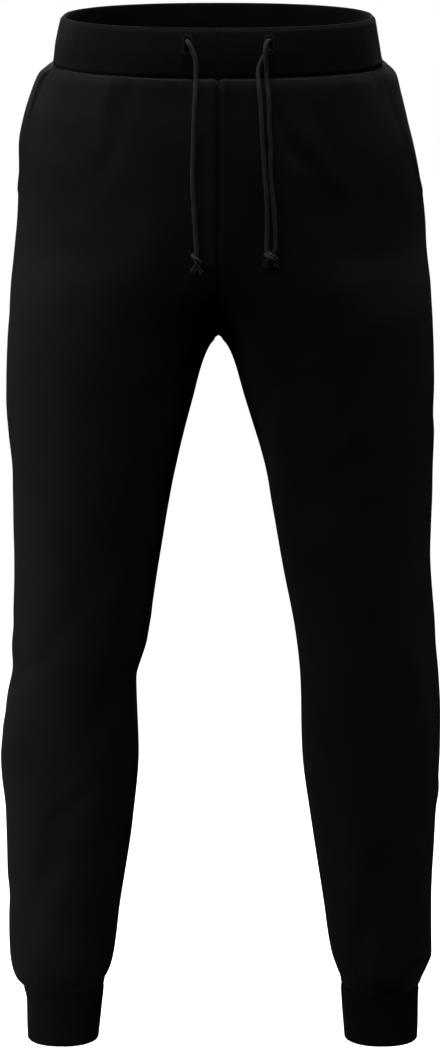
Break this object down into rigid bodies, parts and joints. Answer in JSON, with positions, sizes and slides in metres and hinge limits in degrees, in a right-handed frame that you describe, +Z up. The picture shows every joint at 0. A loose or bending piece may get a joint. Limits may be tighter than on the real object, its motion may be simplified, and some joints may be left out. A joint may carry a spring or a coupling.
{
  "type": "jogger sweatpants",
  "caption": "Tapered fleece jogger sweatpants, filled out as worn, with a knit waistband, a drawcord, slant side pockets and rib-knit ankle cuffs.",
  "frame": {"origin": "centre of the hollow of the waistband, half-way up the band, where the wearer's waist holds it", "axes": "+Z up out of the waist, the front faces -Y, and the wearer's right leg is at -X"},
  "size_m": [0.4391, 0.2721, 1.0492],
  "materials": {
    "fleece": "black brushed-back fleece knit, matt, fine upright rows of stitches on its face",
    "rib_knit": "black elastic rib knit, matt, fine upright ribs",
    "pocketing": "black jersey knit, matt",
    "cord": "black braided cotton cord, matt, a little paler than the cloth"
  },
  "bodies": {
    "root": {"waistband": "rib_knit", "front_right_hip": "fleece", "front_right_fork": "fleece", "front_right_thigh": "fleece", "front_right_shin": "fleece", "front_left_hip": "fleece", "front_left_fork": "fleece", "front_left_thigh": "fleece", "front_left_shin": "fleece", "back_right_hip": "fleece", "back_right_fork": "fleece", "back_right_thigh": "fleece", "back_right_shin": "fleece", "back_left_hip": "fleece", "back_left_fork": "fleece", "back_left_thigh": "fleece", "back_left_shin": "fleece", "pocket_right": "pocketing", "pocket_left": "pocketing", "cuff_right": "rib_knit", "cuff_left": "rib_knit", "drawcord_right": "cord", "drawcord_left": "cord", "drawcord_left_return": "cord", "knot_right": "cord", "knot_left": "cord"}
  },
  "joints": []
}
